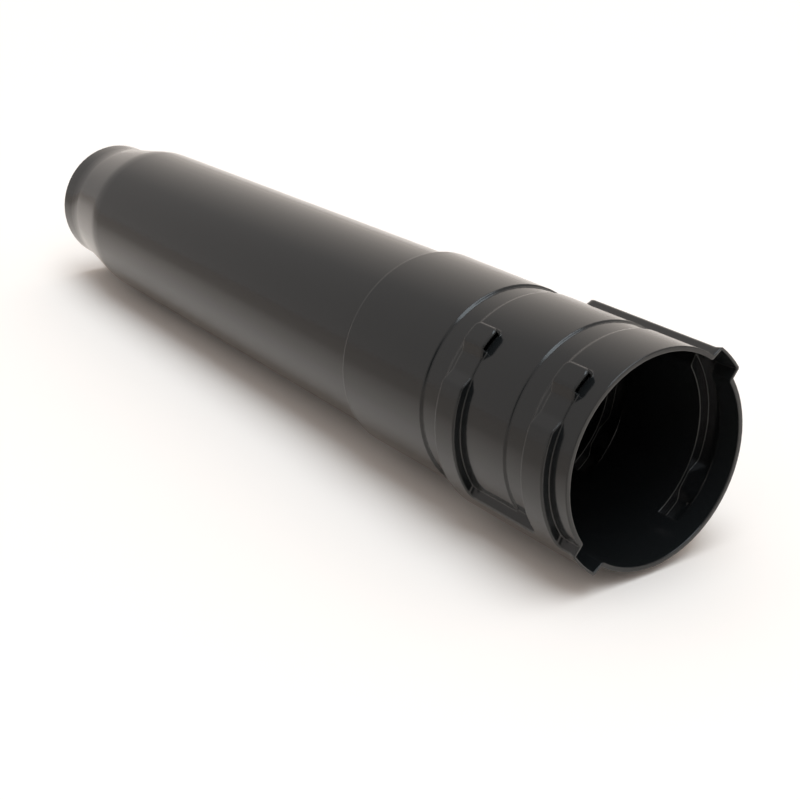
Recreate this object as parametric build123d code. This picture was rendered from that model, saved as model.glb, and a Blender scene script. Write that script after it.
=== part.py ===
from build123d import *
import math
import os

# Leaf blower nozzle tube: one long tapered tube with a twist-lock socket at its wide end.
# Millimetres, +Z up. The tube lies on the ground, its axis along X, socket mouth towards +X.
# While it is shaped the axis is X itself and the open face of the socket is at X = 0, so every
# "depth" below is a distance back from that open face.

# Tube, from the small outlet to the step where the wide socket begins
tube_length = 515.5
wall = 2.1
outlet_radius = 37.25
outlet_neck = 15.9
shoulder_length = 43.65
body_radius_narrow = 44.42
step_depth = 164.3
step_height = 2.7
step_slope = 60.0
neck_blend = 60.0
shoulder_blend = 66.0
step_blend = 1.0

# Socket: a straight bore, with two sunk bands round the outside, one behind each rib
bore_radius = 48.0
socket_wall = 2.25
collar_rise = 0.2
sunk_fall = 0.8
sunk_width = 14.0
sunk_lead = 1.2
sunk_lead_fall = 0.25
track_pitch = 60.0
front_sunk_depth = 26.7
rim_edge = 0.2

# Twist-lock tracks: hollow ribs standing out of the wall, two alike, half a turn apart
track_count = 2
rib_wall = 1.1
rib_height = 4.05
rib_width = 14.0
front_rib_depth = 10.7
channel_turn = 43.5
ramp_start = 67.3
ramp_foot = 74.3
dip_height = 0.7
rise_foot = 83.3
rise_top = 88.8
pocket_end_top = 99.7
pocket_end_base = 101.7
ramp_round = 4.0
pocket_corner = 3.0
branch_corner = 3.0
track_edge = 0.6

# Entry channel of a track: it spreads at its root, and flares where it opens at the mouth
channel_half_width = 7.6
channel_root_half = 9.0
channel_spread = 0.8
channel_corner = 5.0
flare_length = 4.0
flare_rise = 0.8
flare_half_width = 8.3

# Latch window: an opening through the mouth side of each pocket, over a sloping sill
window_start = 88.0
window_end = 98.9
sill_height = 0.35

# Turn of the tube's own seam, and how far solids run past the faces they meet
seam_turn = 2.7
clear = 6.0

# Radii and depths that follow from these
socket_radius = bore_radius + socket_wall
collar_radius = socket_radius + collar_rise
body_radius_wide = collar_radius - step_height
sunk_radius = socket_radius - sunk_fall
rib_radius = socket_radius + rib_height
dip_radius = socket_radius + dip_height
flare_radius = rib_radius + flare_rise
channel_floor = bore_radius - clear
rear_rib_depth = front_rib_depth + track_pitch
rear_far = rear_rib_depth + rib_width


def depth_plane(depth):
    """Plane across the tube at a depth; its normal points away from the mouth."""
    return Plane(origin=(-depth, 0, 0), x_dir=(0, -1, 0), z_dir=(-1, 0, 0))


def polar(turn, radius):
    """Point across the tube, turned from the middle of a track's channel."""
    return (radius * math.cos(math.radians(turn)), radius * math.sin(math.radians(turn)))


def tube_side(inset):
    """Side line of the tube from outlet to socket, moved in by the given wall."""
    neck = outlet_neck - tube_length
    step = step_height / math.tan(math.radians(step_slope))
    ahead = inset * math.tan(math.radians(step_slope) / 2)
    return [
        (-tube_length, outlet_radius - inset, 0),
        (neck, outlet_radius - inset, neck_blend),
        (neck + shoulder_length, body_radius_narrow - inset, shoulder_blend),
        (ahead - step_depth - step, body_radius_wide - inset, 0),
        (ahead - step_depth, collar_radius - inset, step_blend),
    ]


def sunk_band(depth, back_radius):
    """Side line of a sunk band, from the radius behind it to the socket in front of it."""
    return [
        (-depth - sunk_width, back_radius, 0),
        (-depth - sunk_width + back_radius - sunk_radius, sunk_radius, 0),
        (-depth - sunk_lead - sunk_fall + sunk_lead_fall, sunk_radius, 0),
        (-depth - sunk_lead, socket_radius - sunk_lead_fall, 0),
        (-depth, socket_radius, 0),
    ]


def turned(side):
    """Solid of revolution about X under a side line of (x, radius, blend) corners."""
    corners = [(x, radius) for x, radius, blend in side]
    ends = [(side[-1][0], 0), (side[0][0], 0)]
    face = make_face(Polyline(*corners, *ends, close=True))
    for x, radius, blend in side:
        if blend:
            corner = face.vertices().sort_by_distance((x, radius, 0))[0]
            face = fillet(corner, blend)
    return revolve(face, Axis.X)


def blend_centre(before, corner, after):
    """Centre of the rounding of a side line's corner, in x and radius."""
    x, radius, blend = corner
    back = math.atan2(radius - before[1], x - before[0])
    ahead = math.atan2(after[1] - radius, after[0] - x)
    middle = (back + ahead) / 2
    reach = blend / math.cos((back - ahead) / 2)
    return (x + reach * math.sin(middle), radius - reach * math.cos(middle))


def ring_outline(corners):
    """Face across the tube: arcs where the radius holds, straight lines where it changes."""
    edges = []
    for here, there in zip(corners, corners[1:] + corners[:1]):
        if here[1] == there[1]:
            middle = (here[0] + there[0]) / 2
            edges.append(ThreePointArc(polar(*here), polar(middle, here[1]), polar(*there)))
        else:
            edges.append(Line(polar(*here), polar(*there)))
    return make_face(edges)


def half_bend(low, high, inset):
    """Turn by which both ends of a ramp move when its outline is moved in by a wall."""
    rise = rib_radius - dip_radius
    run = math.radians(abs(high - low)) * rib_radius
    return math.degrees(inset * math.tan(math.atan2(rise, run) / 2) / rib_radius)


def rib_outline(inset):
    """Outline of a rib across the tube: high run, ramp, dip, rise and leaning end."""
    high = rib_radius - inset
    low = dip_radius - inset
    fall = half_bend(ramp_foot, ramp_start, inset)
    climb = half_bend(rise_foot, rise_top, inset)
    bends = [
        (ramp_start - fall, high),
        (ramp_foot - fall, low),
        (rise_foot + climb, low),
        (rise_top + climb, high),
    ]
    lean = (pocket_end_base - pocket_end_top) / (rib_radius - socket_radius)
    end = pocket_end_top - math.degrees(inset / rib_radius) + lean * inset
    end_foot = end + lean * (high - channel_floor)
    face = ring_outline([(0, high), *bends, (end, high), (end_foot, channel_floor), (0, channel_floor)])
    for bend in bends:
        corner = face.vertices().sort_by_distance((*polar(*bend), 0))[0]
        face = fillet(corner, ramp_round)
    return face


def channel_outline(top_radius, top_half, inset, knee):
    """Entry channel across the tube: sides lean in as they rise, and spread below the knee."""
    lean = math.atan2(channel_root_half - top_half, top_radius - socket_radius)
    half = top_half - inset / math.cos(lean)
    knee_half = half + math.tan(lean) * (top_radius - knee)
    side = [(knee, knee_half), (top_radius, half)]
    if knee > channel_floor:
        side.insert(0, (channel_floor, knee_half + knee - channel_floor))
    other_side = [(across, -along) for across, along in reversed(side)]
    face = make_face(Polyline(*side, *other_side, close=True))
    return face & Circle(top_radius - inset)


def between(face, near, far):
    """Solid of an outline across the tube, from the near depth to the far depth."""
    return extrude(depth_plane(near) * face, far - near)


def flare(inset, knee):
    """Widening end of an entry channel, from the mouth back to where its sides run straight."""
    wide = channel_outline(flare_radius, flare_half_width, inset, knee)
    straight = channel_outline(rib_radius, channel_half_width, inset, knee)
    return loft([depth_plane(0) * wide, depth_plane(flare_length) * straight], ruled=True)


def upright_edges(solid, depth, low_turn, high_turn):
    """Straight edges that rise to the crown of a track at a depth, between two turns."""
    chosen = []
    lines = solid.edges().filter_by(GeomType.LINE)
    for line in lines.filter_by_position(Axis.X, -depth - rim_edge, rim_edge - depth):
        top = max((line @ 0, line @ 1), key=lambda end: math.hypot(end.Y, end.Z))
        turn = math.degrees(math.atan2(top.Z, -top.Y))
        if math.hypot(top.Y, top.Z) > rib_radius - rim_edge and low_turn < turn < high_turn:
            chosen.append(line)
    return chosen


def is_crown(edge):
    """True of a raised outer edge that bounds a track, not of a smooth seam within it."""
    middle = edge.center()
    raised = math.hypot(middle.Y, middle.Z) > dip_radius - track_edge / 2
    seam = edge.geom_type == GeomType.LINE and abs(edge.length - rib_width) < rim_edge
    across_kink = abs(middle.X + flare_length) < rim_edge
    return raised and not seam and not across_kink and middle.X < -rim_edge


# Whole outside: body, step and socket with its two sunk bands
socket_side = sunk_band(front_sunk_depth + track_pitch, collar_radius)
socket_side += sunk_band(front_sunk_depth, socket_radius)
mouth_edge = [(-rim_edge, socket_radius, 0), (0, socket_radius - rim_edge, 0)]
outside = turned([*tube_side(0), *socket_side, *mouth_edge])

# Air passage: the same side line moved in by the wall, then the straight bore of the socket
outlet_inside, *inside, collar_inside = tube_side(wall)
outlet_inside = (outlet_inside[0] - clear, *outlet_inside[1:])
collar_inside = (collar_inside[0], bore_radius, 0)
bore_edge = [(-rim_edge, bore_radius, 0), (clear, bore_radius + rim_edge + clear, 0)]
passage = turned([outlet_inside, *inside, collar_inside, *bore_edge])

# One track: two ribs running round the tube, joined by a channel that opens at the mouth
bore_knee = math.sqrt(bore_radius**2 - channel_root_half**2) + channel_spread
channel_face = channel_outline(rib_radius, channel_half_width, 0, channel_floor)
groove_face = channel_outline(rib_radius, channel_half_width, rib_wall, bore_knee)
mouth_face = channel_outline(flare_radius, flare_half_width, rib_wall, bore_knee)
outer_track = between(channel_face, flare_length, rear_far) + flare(0, channel_floor)
inner_track = between(groove_face, flare_length, rear_far - rib_wall)
inner_track += flare(rib_wall, bore_knee) + between(mouth_face, -clear, 0)
for depth in (front_rib_depth, rear_rib_depth):
    outer_track += between(rib_outline(0), depth, depth + rib_width)
    inner_track += between(rib_outline(rib_wall), depth + rib_wall, depth + rib_width - rib_wall)

# Round the corners of the track: where its ribs end, where they leave the channel, and where the
# channel begins
for depth in (front_rib_depth, rear_rib_depth):
    for side in (depth, depth + rib_width):
        end_corner = upright_edges(outer_track, side, rise_top, 180)
        outer_track = fillet(end_corner, pocket_corner)
        if side < rear_far:
            branch = upright_edges(outer_track, side, 0, ramp_start)
            outer_track = fillet(branch, branch_corner)
outer_track = fillet(upright_edges(outer_track, rear_far, -90, 0), channel_corner)
outer_track = chamfer(outer_track.edges().filter_by(is_crown), track_edge)

# Windows: each cut sweeps round the tube, its lower line rising through the wall as a sill
for depth in (front_rib_depth, rear_rib_depth):
    window_side = Polyline(
        (clear - depth, socket_radius),
        (-depth, socket_radius),
        (-depth - rib_wall, socket_radius + sill_height),
        (-depth - rib_width / 2, socket_radius + sill_height),
        (-depth - rib_width / 2, rib_radius - rib_wall),
        (clear - depth, rib_radius - rib_wall),
        close=True,
    )
    window_face = Plane(x_dir=(1, 0, 0), z_dir=(0, 0, -1), origin=(0, 0, 0)) * make_face(window_side)
    inner_track += Rot(X=-window_end) * revolve(window_face, Axis.X, window_end - window_start)

# Join everything: ribs onto the tube, then the passage and the grooves out of it
tube = Rot(X=seam_turn) * outside
for number in range(track_count):
    tube += Rot(X=channel_turn + number * 360 / track_count) * outer_track
tube -= passage
for number in range(track_count):
    tube -= Rot(X=channel_turn + number * 360 / track_count) * inner_track

# Take the sharpness off the outlet's rim
outlet_edges = tube.edges().filter_by_position(Axis.X, -tube_length, -tube_length)
tube = chamfer(outlet_edges, rim_edge)

# Lay the tube down: it rests on the front of its shoulder and on the back edge of its socket, so
# the line that touches both of those rounded corners becomes the ground
side = tube_side(0)
narrow = blend_centre(*side[1:4])
wide = blend_centre(*side[3:], socket_side[0])
along = wide[0] - narrow[0]
across = wide[1] - narrow[1]
apart = math.hypot(along, across)
lay_angle = math.atan2(across, along) + math.asin((step_blend - shoulder_blend) / apart)
tube = Rot(Y=-math.degrees(lay_angle)) * tube
box = tube.bounding_box()
tube = Pos(-box.center().X, -box.center().Y, -box.min.Z) * tube

os.makedirs("parts", exist_ok=True)
export_step(tube, "parts/nozzle_tube.step")
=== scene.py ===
import bpy
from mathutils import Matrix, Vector

# Frame
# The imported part: one moulded tube that lies on the ground, with its mouth towards +X. Its place and
# its mesh stay as they are, so the object's box before and after this script is the same.
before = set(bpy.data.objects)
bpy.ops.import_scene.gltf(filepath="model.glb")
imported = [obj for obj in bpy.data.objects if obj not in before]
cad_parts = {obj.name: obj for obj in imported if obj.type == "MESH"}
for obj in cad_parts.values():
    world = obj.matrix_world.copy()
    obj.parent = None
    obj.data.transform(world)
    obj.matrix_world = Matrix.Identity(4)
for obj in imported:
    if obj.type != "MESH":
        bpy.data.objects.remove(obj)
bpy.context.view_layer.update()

# Tube
# The nozzle tube of a leaf blower, black polypropylene, injection moulded in one piece. Its mould was
# spark-finished, which gives the eye a faint even grain under a satin sheen. Nothing is fixed to it.
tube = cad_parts["nozzle_tube"]
pigment = "#1a1c1d"
# Colour of the painted highlight on every edge of the tube.
edge_highlight_pigment = "#2f2f2e"
polypropylene_ior = 1.5
edge_softness = 0.0011
# A spark-finished grain is about 0.1 mm wide, too fine to show here, so it is drawn at 0.42 mm.
grains_per_metre = 2400.0
grain_height = 0.00005
# Patches of handling are about as wide as a thumb, 26 mm.
patches_per_metre = 38.0
clean_roughness = 0.12
handled_roughness = 0.17
# Most of a noise's values lie between these two.
noise_low = 0.3
noise_high = 0.7
# Cosines of the angle between the softened normal and the face's own, on a fully lightened edge and off
# it.
edge_cosine = 0.85
face_cosine = 0.99


def linear(hex_colour, gain=1.0):
    """sRGB hex colour as linear red, green, blue and alpha, times a gain."""
    parts = [int(hex_colour[i:i + 2], 16) / 255 for i in (1, 3, 5)]
    levels = [c / 12.92 if c <= 0.04045 else ((c + 0.055) / 1.055) ** 2.4 for c in parts]
    return [gain * level for level in levels] + [1.0]


def add_node(tree, kind, inputs=None, **settings):
    """Adds a shader node, sets its properties, then its inputs by value or by link."""
    node = tree.nodes.new(kind)
    for name, value in settings.items():
        setattr(node, name, value)
    for key, value in (inputs or {}).items():
        if isinstance(value, bpy.types.NodeSocket):
            tree.links.new(value, node.inputs[key])
        else:
            node.inputs[key].default_value = value
    return node


def empty_tree(holder):
    """Node tree of a material or a world, with its first nodes taken out."""
    holder.use_nodes = True
    holder.node_tree.nodes.clear()
    return holder.node_tree


# Sockets of the Mix node when it blends colours: they share their names with its other kinds.
blend_factor = 0
blend_from = 6
blend_to = 7
blend_result = 2

moulded = bpy.data.materials.new("black_moulded_polypropylene")
tree = empty_tree(moulded)
place = add_node(tree, "ShaderNodeTexCoord").outputs["Object"]

# A moulding's edges are never sharp, so they catch the light over their own width.
rounded = add_node(tree, "ShaderNodeBevel", {"Radius": edge_softness}, samples=8).outputs["Normal"]
grain = add_node(tree, "ShaderNodeTexNoise", {
    "Vector": place, "Scale": grains_per_metre, "Detail": 3.0,
}).outputs["Fac"]
grained = add_node(tree, "ShaderNodeBump", {
    "Height": grain, "Strength": 0.08, "Distance": grain_height, "Normal": rounded,
}).outputs["Normal"]

# Handling has left soft patches a little duller.
handled = add_node(tree, "ShaderNodeTexNoise", {
    "Vector": place, "Scale": patches_per_metre, "Detail": 4.0,
}).outputs["Fac"]
dullness = add_node(tree, "ShaderNodeMapRange", {
    "Value": handled, "From Min": noise_low, "From Max": noise_high,
    "To Min": clean_roughness, "To Max": handled_roughness,
}).outputs["Result"]

# Edges, where the softened normal turns from the face's own, get a painted highlight, concave ones too.
flat = add_node(tree, "ShaderNodeNewGeometry").outputs["Normal"]
facing = add_node(tree, "ShaderNodeVectorMath", {
    0: rounded, 1: flat,
}, operation="DOT_PRODUCT").outputs["Value"]
painted_edge_highlight = add_node(tree, "ShaderNodeMapRange", {
    "Value": facing, "From Min": edge_cosine, "From Max": face_cosine, "To Min": 1.0, "To Max": 0.0,
}).outputs["Result"]
colour = add_node(tree, "ShaderNodeMix", {
    blend_factor: painted_edge_highlight, blend_from: linear(pigment), blend_to: linear(edge_highlight_pigment),
}, data_type="RGBA").outputs[blend_result]
skin = add_node(tree, "ShaderNodeBsdfPrincipled", {
    "Base Color": colour, "Roughness": dullness, "IOR": polypropylene_ior, "Normal": grained,
}).outputs["BSDF"]
add_node(tree, "ShaderNodeOutputMaterial", {"Surface": skin})
for holder in tube.material_slots:
    holder.material = moulded

# Floor
# A flat sheet of white paper under the tube, so wide that it reaches the horizon. The camera sees it
# white. Its colour in the tube's reflections is painted: a little warmer and brighter, and greyer with
# painted shade on the side where the photographer stands.
paper_width = 30
shade_start = -0.22
shade_end = -0.06
seen_paper = linear("#fff8f2", 1.045)
mirrored_paper = linear("#fff5ec", 1.1)
shaded_paper = linear("#c6bbb2")
bpy.ops.mesh.primitive_plane_add(size=paper_width)
floor = bpy.context.object
floor.name = "studio_floor"
paper = bpy.data.materials.new("white_paper")
tree = empty_tree(paper)
spot = add_node(tree, "ShaderNodeTexCoord").outputs["Object"]
across = add_node(tree, "ShaderNodeSeparateXYZ", {"Vector": spot}).outputs["Y"]
# Painted shade: the paper the tube mirrors turns greyer towards the photographer's side.
reach = add_node(tree, "ShaderNodeMapRange", {
    "Value": across, "From Min": shade_start, "From Max": shade_end, "To Min": 0.0, "To Max": 1.0,
}).outputs["Result"]
shade = add_node(tree, "ShaderNodeMix", {
    blend_factor: reach, blend_from: shaded_paper, blend_to: mirrored_paper,
}, data_type="RGBA").outputs[blend_result]
mirrored = add_node(tree, "ShaderNodeBsdfDiffuse", {"Color": shade}).outputs["BSDF"]
sheet = add_node(tree, "ShaderNodeBsdfDiffuse", {"Color": seen_paper}).outputs["BSDF"]
seen = add_node(tree, "ShaderNodeLightPath").outputs["Is Camera Ray"]
paper_mix = add_node(tree, "ShaderNodeMixShader", {"Fac": seen, 1: mirrored, 2: sheet}).outputs["Shader"]
add_node(tree, "ShaderNodeOutputMaterial", {"Surface": paper_mix})
floor.data.materials.append(paper)

# Room
# White for the camera. For the tube it is a pale room, brightest where a lit wall stands behind the
# tube, and dark in the small part of it that the photographer fills.
room_colour = linear("#cec8c4")
lit_wall_colour = linear("#fff5ec", 1.06)
lit_wall_direction = (-0.633, 0.754, 0.174)
photographer_direction = (0.74, -0.6, 0.3)
photographer_strength = 0.03
# Cosines of the angle from those directions, at each one's outer edge and where it is full.
lit_wall_edge = 0.57
photographer_edge = 0.92
full_cosine = 0.98
world = bpy.data.worlds.new("studio")
bpy.context.scene.world = world
tree = empty_tree(world)
toward = add_node(tree, "ShaderNodeTexCoord").outputs["Generated"]
to_wall = add_node(tree, "ShaderNodeVectorMath", {
    0: toward, 1: lit_wall_direction,
}, operation="DOT_PRODUCT").outputs["Value"]
glow = add_node(tree, "ShaderNodeMapRange", {
    "Value": to_wall, "From Min": lit_wall_edge, "From Max": full_cosine, "To Min": 0.0, "To Max": 1.0,
}).outputs["Result"]
tint = add_node(tree, "ShaderNodeMix", {
    blend_factor: glow, blend_from: room_colour, blend_to: lit_wall_colour,
}, data_type="RGBA").outputs[blend_result]
to_photographer = add_node(tree, "ShaderNodeVectorMath", {
    0: toward, 1: photographer_direction,
}, operation="DOT_PRODUCT").outputs["Value"]
strength = add_node(tree, "ShaderNodeMapRange", {
    "Value": to_photographer, "From Min": photographer_edge, "From Max": full_cosine,
    "To Min": 1.0, "To Max": photographer_strength,
}).outputs["Result"]
room = add_node(tree, "ShaderNodeBackground", {"Color": tint, "Strength": strength}).outputs["Background"]
white = add_node(tree, "ShaderNodeBackground", {"Color": linear("#ffffff")}).outputs["Background"]
seen = add_node(tree, "ShaderNodeLightPath").outputs["Is Camera Ray"]
room_mix = add_node(tree, "ShaderNodeMixShader", {"Fac": seen, 1: room, 2: white}).outputs["Shader"]
add_node(tree, "ShaderNodeOutputWorld", {"Surface": room_mix})

# Lamps
# A wide overhead softbox, as a sun lamp of 43 degrees so that it lights the whole floor evenly, and a
# small key softbox in front of the mouth, which picks out the edges of the socket.
lamp_colour = "#e7f5ff"
aim_point = Vector((0, 0, 0.05))
for name, kind, width_setting, width, position, energy in (
    ("top_softbox", "SUN", "angle", 0.75, (0.35, 0.1, 2.8), 1.474),
    ("key_softbox", "AREA", "size", 0.9, (1.74, -0.28, 2.52), 7.81),
):
    lamp_data = bpy.data.lights.new(name, kind)
    setattr(lamp_data, width_setting, width)
    lamp_data.energy = energy
    lamp_data.color = linear(lamp_colour)[:3]
    lamp = bpy.data.objects.new(name, lamp_data)
    bpy.context.collection.objects.link(lamp)
    lamp.location = position
    lamp.rotation_euler = (aim_point - lamp.location).to_track_quat("-Z", "Y").to_euler()

# Camera
# A short telephoto from above the socket end, with its place, direction and focal length fitted to
# the photograph's outline.
view_direction = Vector((-0.75131, 0.5271, -0.3969))
camera_data = bpy.data.cameras.new("camera")
camera_data.sensor_width = 36
camera_data.lens = 71.84
camera = bpy.data.objects.new("camera", camera_data)
bpy.context.collection.objects.link(camera)
camera.location = (0.68945, -0.4349, 0.342679)
camera.rotation_euler = view_direction.to_track_quat("-Z", "Y").to_euler()
bpy.context.scene.camera = camera
bpy.context.scene.view_settings.view_transform = "Standard"
